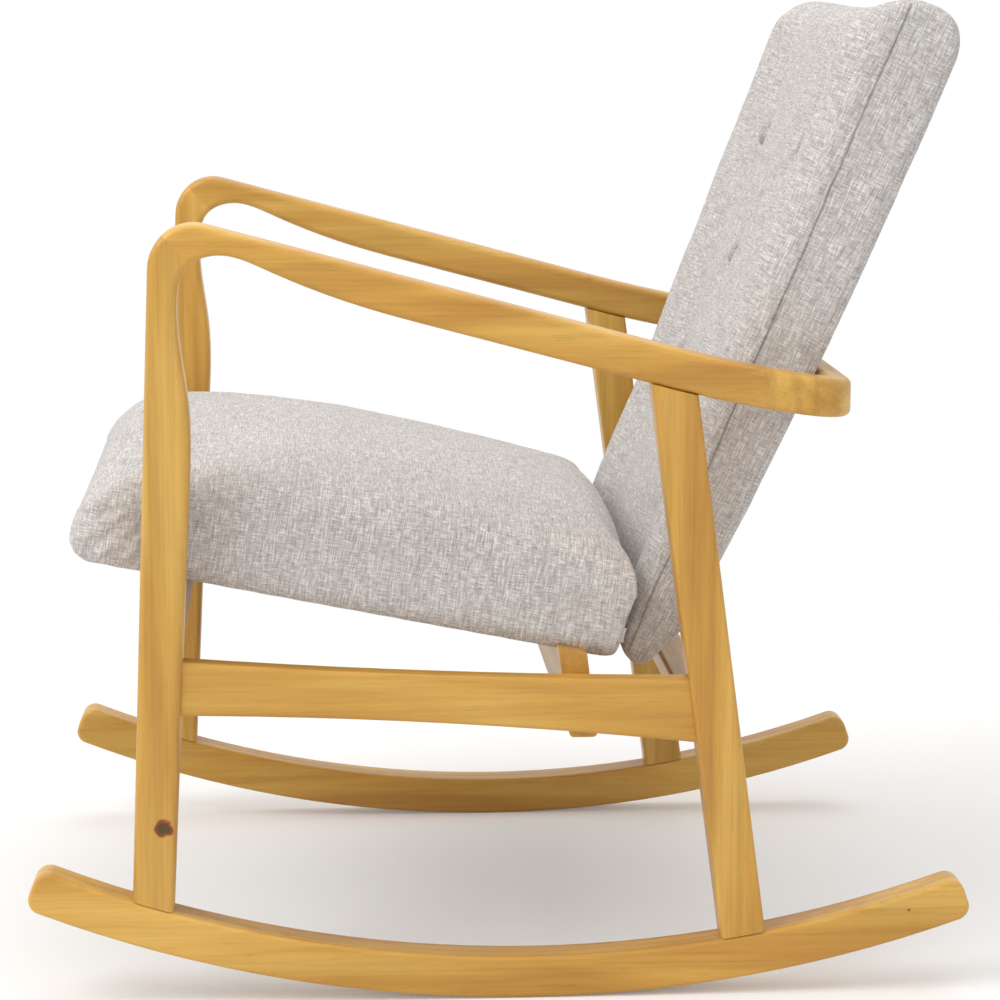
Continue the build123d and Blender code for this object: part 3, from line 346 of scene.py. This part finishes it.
def foam(name):
    """Pale yellow open-cell foam."""
    t = Tree(name)
    vector = place_coordinates(t)
    cells = t.node("TexVoronoi", {"Vector": vector, "Scale": 900.0}).outputs["Distance"]
    base = t.ramp(cells, [(0.0, rgb(196, 180, 128)), (0.5, rgb(238, 226, 178))])
    bump = t.node("Bump", {"Height": cells, "Strength": 0.5, "Distance": 0.0006}).outputs[0]
    shader = t.node("BsdfPrincipled", {"Base Color": base, "Roughness": 0.95, "Normal": bump})
    return t.surface(shader.outputs[0])


def floor_paint():
    """Pale floor that fades to plain white away from the chair."""
    fade_start, fade_end = 0.75, 1.7
    t = Tree("floor_paint")
    grain = t.noise(t.node("TexCoord").outputs["Object"], 3.0, 3.0)
    base = t.ramp(grain, [(0.3, grey(0.86)), (0.7, grey(0.88))])
    shader = t.node("BsdfPrincipled", {"Base Color": base, "Roughness": 0.8,
                                       "Specular IOR Level": 0.1})
    glow = t.node("Emission", {"Color": (1, 1, 1, 1), "Strength": 0.16})
    path = t.node("LightPath").outputs
    seen = t.math("MAXIMUM", path["Is Camera Ray"], path["Is Glossy Ray"])
    none = t.node("Emission", {"Strength": 0.0})
    lift = t.node("MixShader", {0: seen, 1: none.outputs[0], 2: glow.outputs[0]})
    both = t.node("AddShader", {0: shader.outputs[0], 1: lift.outputs[0]})
    place = t.node("TexCoord").outputs["Object"]
    away = t.node("VectorMath", {0: place}, operation="LENGTH").outputs["Value"]
    far = t.node("MapRange", {0: away, 1: fade_start, 2: fade_end},
                 interpolation_type="SMOOTHSTEP").outputs[0]
    white = t.node("Emission", {"Color": (1, 1, 1, 1), "Strength": 1.0})
    fade = t.math("MULTIPLY", far, seen)
    ground = t.node("MixShader", {0: fade, 1: both.outputs[0], 2: white.outputs[0]})
    return t.surface(ground.outputs[0])


floor.data.materials.append(floor_paint())

# ---------------------------------------------------------------- materials of the CAD nodes

# Turns that bring a member's length onto X: upright, front to rear, and across
QUARTER_TURN = math.radians(90)
leg_turn, depth_turn, cross_turn = (0, QUARTER_TURN, 0), (0, 0, -QUARTER_TURN), (0, 0, 0)
front_knots = [((0.336, -0.2996, 0.1618), 0.0088, 0.14)]
rocker_knots = [((0.336, -0.300, 0.093), 0.0022, 0.3), ((0.336, 0.365, 0.075), 0.0022, 0.3)]

finishes = {
    "left_front_leg": wood("wood_left_front_leg", leg_turn, 1.0, 0.94, front_knots),
    "right_front_leg": wood("wood_right_front_leg", leg_turn, 2.0, 1.0),
    "left_rear_leg": wood("wood_left_rear_leg", leg_turn, 3.0, 0.98),
    "right_rear_leg": wood("wood_right_rear_leg", leg_turn, 4.0, 0.9),
    "left_arm": wood("wood_left_arm", depth_turn, 5.0, 1.0),
    "right_arm": wood("wood_right_arm", depth_turn, 6.0, 0.92),
    "arm_bow": wood("wood_arm_bow", cross_turn, 7.0, 0.95),
    "left_rocker": wood("wood_left_rocker", depth_turn, 8.0, 1.0, rocker_knots),
    "right_rocker": wood("wood_right_rocker", depth_turn, 9.0, 0.96),
    "left_stretcher": wood("wood_left_stretcher", depth_turn, 10.0, 0.96),
    "right_stretcher": wood("wood_right_stretcher", depth_turn, 11.0, 0.9),
    "front_seat_rail": wood("wood_front_rail", cross_turn, 12.0, 0.9, gloss=0.05),
    "rear_seat_rail": wood("wood_rear_rail", cross_turn, 13.0, 0.95),
    "leg_rail": wood("wood_leg_rail", cross_turn, 14.0, 0.95),
}
raw_wood = wood("wood_raw", cross_turn, 21.0, raw=True)
by_slot = {
    "dowel_wood": raw_wood,
    "frame_wood": raw_wood,
    "webbing": plain_cloth("webbing_cloth", (52, 48, 45), 520.0),
    "black_lining": plain_cloth("lining_cloth", (30, 30, 31), 420.0, 0.3),
    "twine": plain_cloth("twine_cloth", (170, 165, 158), 900.0),
    "zinc_steel": zinc("zinc_steel"),
    "foam": foam("foam_cells"),
    "linen_weave": plain_cloth("linen_plain", (200, 194, 188), 500.0),
}
slot_of = {s["node"]: s["material_slot"] for s in frame["record"]["subparts"]}
for name, node in nodes.items():
    material = finishes.get(name) or by_slot[slot_of[name]]
    node.data.materials.clear()
    node.data.materials.append(material)
    for polygon in node.data.polygons:
        polygon.material_index = 0

# ---------------------------------------------------------------- soft pieces

# Each cushion's tilt, and its own origin and directions, as in the CAD
SEAT_TILT, BACK_TILT, BACK_TAPER = math.radians(11.3), math.radians(24.7), math.radians(3.8)
SEAT_BASE = np.array([0.0, 0.0, 0.323])
BACK_BASE = np.array([0.0, 0.173, 0.324])
SEAT_AXES = np.array([
    [1, 0, 0],
    [0, math.cos(SEAT_TILT), -math.sin(SEAT_TILT)],
    [0, math.sin(SEAT_TILT), math.cos(SEAT_TILT)],
])
BACK_AXES = np.array([
    [1, 0, 0],
    [0, math.sin(BACK_TILT), math.cos(BACK_TILT)],
    [0, -math.cos(BACK_TILT), math.sin(BACK_TILT)],
])
LINING_HALF_WIDTH = 0.244  # of the seat's lining and the back's
# Where the buttons are on the back: across, and up
BUTTONS = [(-0.132, 0.435), (0.132, 0.435), (0.0, 0.317), (-0.132, 0.199), (0.132, 0.199)]


def points_of(mesh):
    """The places of a mesh's vertices, one a row."""
    co = np.zeros(len(mesh.vertices) * 3)
    mesh.vertices.foreach_get("co", co)
    return co.reshape(-1, 3)


def set_points(mesh, co):
    mesh.vertices.foreach_set("co", co.ravel())
    mesh.update()


def settle(obj):
    """Applies obj's modifiers to its mesh."""
    dg = bpy.context.evaluated_depsgraph_get()
    made = bpy.data.meshes.new_from_object(obj.evaluated_get(dg), depsgraph=dg)
    obj.modifiers.clear()
    obj.data = made


VOXEL, DRAWN_IN = 0.0062, 0.003


def hull_piece(name, source):
    """A closed, evenly meshed piece round a CAD solid's hull, drawn in a little."""
    bm = bmesh.new()
    bm.from_mesh(source.data)
    out = bmesh.ops.convex_hull(bm, input=bm.verts)
    gone = [g for g in out["geom_interior"] + out["geom_unused"]
            if isinstance(g, bmesh.types.BMVert)]
    bmesh.ops.delete(bm, geom=gone, context="VERTS")
    hull = set(f for f in out["geom"] if isinstance(f, bmesh.types.BMFace))
    bmesh.ops.delete(bm, geom=[f for f in bm.faces if f not in hull], context="FACES")
    obj = new_object(name, bm)
    remesh = obj.modifiers.new("remesh", "REMESH")
    remesh.mode = "VOXEL"
    remesh.voxel_size = VOXEL
    settle(obj)
    normals = np.zeros(len(obj.data.vertices) * 3)
    obj.data.vertices.foreach_get("normal", normals)
    set_points(obj.data, points_of(obj.data) - normals.reshape(-1, 3) * DRAWN_IN)
    return obj


CLOTH_FRAMES = 20
CLOTH_SETTINGS = {
    "quality": 5,
    "mass": 0.25,
    "tension_stiffness": 18,
    "compression_stiffness": 18,
    "shear_stiffness": 8,
    "bending_stiffness": 1.5,
    "use_pressure": True,
    "uniform_pressure_force": 4.0,
}


def puff(obj, cap):
    """Swells obj as cloth under pressure. cap is the furthest that each of its points may move."""
    start = points_of(obj.data)
    cloth = obj.modifiers.new("cloth", "CLOTH")
    for key, value in CLOTH_SETTINGS.items():
        setattr(cloth.settings, key, value)
    cloth.settings.effector_weights.gravity = 0
    cloth.point_cache.frame_start = 1
    cloth.point_cache.frame_end = CLOTH_FRAMES
    for number in range(1, CLOTH_FRAMES + 1):
        scene.frame_set(number)
    dg = bpy.context.evaluated_depsgraph_get()
    moved = points_of(obj.evaluated_get(dg).to_mesh())
    obj.evaluated_get(dg).to_mesh_clear()
    obj.modifiers.clear()
    scene.frame_set(1)
    step = moved - start
    length = np.linalg.norm(step, axis=1, keepdims=True)
    set_points(obj.data, start + step * np.minimum(1, cap[:, None] / np.maximum(length, 1e-9)))


def relax(obj, repeat):
    """Evens out obj's mesh."""
    smooth = obj.modifiers.new("smooth", "SMOOTH")
    smooth.factor = 0.5
    smooth.iterations = repeat
    settle(obj)


def shade_smooth(mesh):
    for polygon in mesh.polygons:
        polygon.use_smooth = True


def divide(obj):
    """Splits each of obj's faces in four, and rounds them."""
    sub = obj.modifiers.new("divide", "SUBSURF")
    sub.levels = 1
    sub.render_levels = 1
    settle(obj)
    shade_smooth(obj.data)


def step_up(x, low, high):
    """0 below low, 1 above high, and a soft step between them."""
    t = np.clip((x - low) / (high - low), 0, 1)
    return t * t * (3 - 2 * t)


def rolling(points, scale, seed):
    """Smooth seeded noise at each point, from -1 to 1."""
    shift = Vector((seed, seed * 1.7, seed * 0.3))
    return np.array([noise.noise(Vector(p) * scale + shift) for p in points])


def folds_of(points, *waves):
    """The sum of some noise waves, each given by its height, waves a metre and seed."""
    return sum(height * rolling(points, scale, seed) for height, scale, seed in waves)


def finish_soft(obj, material, *stands_for, slot="linen_weave"):
    """Gives obj its material, and puts it on the chair in place of CAD nodes."""
    obj.data.materials.clear()
    obj.data.materials.append(material)
    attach(obj, "root")
    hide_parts(*stands_for)


def fit_box(co, low, high):
    """Stretches local points so that they fill a box."""
    first, last = co.min(axis=0), co.max(axis=0)
    return (co - first) / (last - first) * (np.array(high) - np.array(low)) + np.array(low)


def box_of(node, base, axes):
    """The corners of a node's box in its cushion's own directions."""
    co = (points_of(node.data) - base) @ axes.T
    return co.min(axis=0), co.max(axis=0)


# Seat. Its own directions: x is across, along runs from front to rear, height is off the lining.
CROWN_ACROSS = 3.296  # twice the radius of the crown across the seat
TOP_LINE, FALL_AHEAD, FALL_BEHIND = -0.150, 0.543, 0.204  # highest line; fall a metre squared
LINED_FRONT, LINED_REAR = -0.358, 0.082
OVER_LINING, OFF_LINING = 0.0014, -0.0002  # lowest height of the cloth on and beside the lining
EDGE_HANG = 0.0075
SEAT_FOLDS = (0.0011, 14.0, 3.0), (0.0004, 45.0, 9.0)
GATHER = 0.0011

seat_low, seat_high = box_of(nodes["seat_cover"], SEAT_BASE, SEAT_AXES)
seat = hull_piece("seat_cushion", nodes["seat_cover"])
level = ((points_of(seat.data) - SEAT_BASE) @ SEAT_AXES.T)[:, 2]
puff(seat, 0.0012 + 0.0048 * step_up(level, 0.004, 0.050))
relax(seat, 3)
divide(seat)
# x, along and height are views of co, so the folds follow the points that are already moved
co = fit_box((points_of(seat.data) - SEAT_BASE) @ SEAT_AXES.T, seat_low, seat_high)
x, along, height = co.T
crown = x**2 / CROWN_ACROSS
reach = along - TOP_LINE
arch = np.where(reach < 0, FALL_AHEAD, FALL_BEHIND) * reach**2
height -= np.minimum(crown, arch) * step_up(height, 0.025, 0.085)
folds = folds_of(co, *SEAT_FOLDS)
height += folds * (0.3 + 0.7 * step_up(height, 0.07, 0.11))
side = step_up(np.abs(x), 0.24, 0.275)
x += np.sign(x) * side * (folds + 0.0015 * np.sin(np.clip(height / 0.1, 0, 1) * math.pi))
# Cloth gathered round the front corners
corner = (step_up(-along, 0.30, 0.36) * step_up(0.07 - height, 0.0, 0.04)
          * step_up(np.abs(x), 0.19, 0.26))
turn = np.arctan2(height - 0.070, -along - 0.31)
x += np.sign(x) * GATHER * np.sin(turn * 24 + np.abs(x) * 55) * corner
along -= 0.0006 * np.sin(turn * 19 + np.abs(x) * 90) * corner
# Flat over the lining, and hanging at the lower side edges
lined = (np.abs(x) < LINING_HALF_WIDTH) & (along > LINED_FRONT) & (along < LINED_REAR)
height = np.maximum(height, np.where(lined, OVER_LINING, OFF_LINING))
hanging = step_up(np.abs(x), 0.238, 0.272) * (1 - step_up(height, 0.006, 0.050))
height = height - EDGE_HANG * hanging
set_points(seat.data, np.stack([x, along, height], 1) @ SEAT_AXES + SEAT_BASE)
finish_soft(seat, weave("linen_seat", SEAT_TILT), "seat_cover", "seat_foam")

# Back. Its own directions: x is across, up runs along the back, depth is toward the sitter.
BACK_HALF_WIDTH, CREST_DEPTH = 0.266, 0.059
FAR_SIDE_DROP = 0.0035  # how much lower the sitter's right half is toward the top
BACK_FOLDS = (0.0010, 13.0, 5.0), (0.0004, 40.0, 11.0)
DIMPLE, HOLLOW = (0.0030, 0.016), (0.0022, 0.045)  # depth and reach of each
PULL_LINES, PULL_DEPTH, PULL_REACH = ((0, 2), (1, 2), (2, 3), (2, 4)), 0.0016, 0.013
HEEL_LOW, HEEL_HIGH, HEEL_SLOPE = -0.0505, -0.0095, -0.4

back_low, back_high = box_of(nodes["back_cover"], BACK_BASE, BACK_AXES)
back = hull_piece("back_cushion", nodes["back_cover"])
co = (points_of(back.data) - BACK_BASE) @ BACK_AXES.T
x, up, depth = co.T


def back_face(x, up):
    """Depth of the back's front: a soft middle, two valleys and a wing at each side."""
    wide = np.abs(x)
    crest = (CREST_DEPTH + up * math.tan(BACK_TAPER)
             - FAR_SIDE_DROP * (x < 0) * step_up(up, 0.05, 0.15))
    drop = 0.0095 + 0.008 * step_up(wide, 0.05, 0.14) - 0.0175 * step_up(wide, 0.15, 0.225)
    radius = 0.008 + 0.022 * step_up(up, 0.03, 0.16)
    corner = np.clip(wide - BACK_HALF_WIDTH + radius, 0, 0.997 * radius)
    round_off = radius - np.sqrt(radius**2 - corner**2)
    return crest - np.maximum(drop, round_off)


def softer_least(a, b, blend):
    """The lesser of a and b, rounded where they cross."""
    t = np.clip(0.5 + 0.5 * (b - a) / blend, 0, 1)
    return b * (1 - t) + a * t - blend * t * (1 - t)


def bell(distance, reach):
    """1 at no distance, falling away over reach."""
    return np.exp(-((distance / reach) ** 2))


depth = softer_least(depth, back_face(x, up) - 0.003, 0.012)
set_points(back.data, np.stack([x, up, depth], 1) @ BACK_AXES + BACK_BASE)
relax(back, 2)
puff(back, 0.0008 + 0.0052 * step_up(depth, 0.004, 0.045))
relax(back, 2)
divide(back)
co = fit_box((points_of(back.data) - BACK_BASE) @ BACK_AXES.T, back_low, back_high)
x, up, depth = co.T
depth = softer_least(depth, back_face(x, up) + 0.0012, 0.005)
front = back_face(x, up)
facing = step_up(depth, front - 0.030, front - 0.012)
# The top edge: a wing at each side, a notch inside each wing, and a low middle
crest = step_up(up, 0.48, 0.57)
wing = step_up(np.abs(x), 0.165, 0.225)
middle = 1 - step_up(np.abs(x), 0.09, 0.15)
notch = bell(np.abs(x) - 0.155, 0.022)
up += crest * (wing * np.where(x > 0, 0.003, -0.0035) - 0.0045 * middle - 0.0065 * notch)
folds = folds_of(co, *BACK_FOLDS)
depth += folds
side = step_up(np.abs(x), 0.22, 0.255)
x += np.sign(x) * side * folds
for bx, by in BUTTONS:
    far = np.hypot(x - bx, (up - by) * 0.92)
    turn = np.arctan2(up - by, x - bx)
    pull = DIMPLE[0] * bell(far, DIMPLE[1]) + HOLLOW[0] * bell(far, HOLLOW[1])
    crease = 0.0011 * np.cos(turn * 5 + bx * 30 + by * 17) * bell(far - 0.032, 0.017)
    depth -= (pull + crease) * facing
for start, end in PULL_LINES:
    a, b = np.array(BUTTONS[start]), np.array(BUTTONS[end])
    run = b - a
    t = np.clip(((x - a[0]) * run[0] + (up - a[1]) * run[1]) / (run @ run), 0, 1)
    far = np.hypot(x - a[0] - t * run[0], up - a[1] - t * run[1])
    depth -= PULL_DEPTH * bell(far, PULL_REACH) * facing
# The lower end lies just outside its sloping lining
heel = (np.abs(x) < LINING_HALF_WIDTH) & (up > HEEL_LOW) & (up < HEEL_HIGH)
on_heel = heel & (depth < HEEL_SLOPE * up + 0.012)
depth = np.where(on_heel, np.maximum(depth, HEEL_SLOPE * up + 0.0016), depth)
set_points(back.data, np.stack([x, up, depth], 1) @ BACK_AXES + BACK_BASE)
back_linen = weave("linen_back", BACK_TILT, seed=4.0, seam=(0.0101, 0.027))
finish_soft(back, back_linen, "back_cover", "back_foam", "back_pad")

# Cover buttons, seated in their dimples, and the cords that hold them
BUTTON_RADIUS, BUTTON_RISE, BUTTON_LIFT = 0.0125, 0.0072, 0.0030
CROWN_RINGS, BUTTON_SIDES = 9, 40
TUCKED_EDGE = (1.0, -0.0016), (0.82, -0.0034), (0.5, -0.0040)  # share of the radius, and level
CORD_STEPS, CORD_SIDES = 40, 12
WEBBING_FRONT, CORD_TUCK = 0.0376, 0.001
CORD_RADIUS, STRAND_BULGE, STRAND_TWIST = 0.00062, 0.00034, 0.55
button_finish = weave("linen_button", BACK_TILT, (222, 216, 212), (126, 117, 113), 9.0)
back_points = (points_of(back.data) - BACK_BASE) @ BACK_AXES.T


def cushion_level(bx, by):
    """Mean depth of the back's front round one button's place."""
    near = back_points[(np.hypot(back_points[:, 0] - bx, back_points[:, 1] - by) < 0.010)
                       & (back_points[:, 2] > 0.03)]
    return near[:, 2].mean()


def point_on_back(bm, x, up, depth):
    return bm.verts.new(np.array([x, up, depth]) @ BACK_AXES + BACK_BASE)


def ring_on_back(bm, bx, by, level, sides, radius_at):
    """A ring of vertices round one button's place. radius_at gives the radius at an angle."""
    ring = []
    for k in range(sides):
        a = 2 * math.pi * k / sides
        r = radius_at(a)
        ring.append(point_on_back(bm, bx + r * math.cos(a), by + r * math.sin(a), level))
    return ring


def button_piece(name, places, stands_for):
    """Round covered buttons: a dome with a tucked edge, with the cloth gathered at its rim."""
    outline = []
    for ring in range(CROWN_RINGS + 1):
        angle = ring / CROWN_RINGS * math.pi / 2
        outline.append((BUTTON_RADIUS * math.sin(angle) ** 0.8,
                        BUTTON_RISE * math.cos(angle) ** 0.75))
    outline += [(BUTTON_RADIUS * share, level) for share, level in TUCKED_EDGE]
    bm = bmesh.new()
    for bx, by in places:
        seat_level = cushion_level(bx, by) + BUTTON_LIFT
        loops = []
        for r, h in outline[1:]:
            ruffle = 0.00022 * (r / BUTTON_RADIUS) ** 3
            loops.append(ring_on_back(bm, bx, by, seat_level + h, BUTTON_SIDES,
                                      lambda a: r + ruffle * math.sin(a * 11 + bx * 50)))
        crown = point_on_back(bm, bx, by, seat_level + outline[0][1])
        for k in range(BUTTON_SIDES):
            after = (k + 1) % BUTTON_SIDES
            bm.faces.new((crown, loops[0][k], loops[0][after]))
            for low, high in zip(loops, loops[1:]):
                bm.faces.new((low[k], high[k], high[after], low[after]))
        bm.faces.new(list(reversed(loops[-1])))
    bmesh.ops.recalc_face_normals(bm, faces=bm.faces)
    obj = new_object(name, bm)
    shade_smooth(obj.data)
    finish_soft(obj, button_finish, stands_for)


button_piece("upper_covered_buttons", BUTTONS[:2], "upper_buttons")
button_piece("centre_covered_button", BUTTONS[2:3], "centre_buttons")
button_piece("lower_covered_buttons", BUTTONS[3:], "lower_buttons")

# Two-strand cords from the webbing to the buttons
bm = bmesh.new()
for bx, by in BUTTONS:
    length = cushion_level(bx, by) - CORD_TUCK - WEBBING_FRONT
    last = None
    for step in range(CORD_STEPS + 1):
        ring = ring_on_back(
            bm, bx, by, WEBBING_FRONT + length * step / CORD_STEPS, CORD_SIDES,
            lambda a: CORD_RADIUS + STRAND_BULGE * abs(math.cos(a - step * STRAND_TWIST)))
        if last:
            for k in range(CORD_SIDES):
                after = (k + 1) % CORD_SIDES
                bm.faces.new((last[k], last[after], ring[after], ring[k]))
        else:
            bm.faces.new(list(reversed(ring)))
        last = ring
    bm.faces.new(last)
bmesh.ops.recalc_face_normals(bm, faces=bm.faces)
finish_soft(new_object("button_cords", bm), by_slot["twine"], "button_twines", slot="twine")
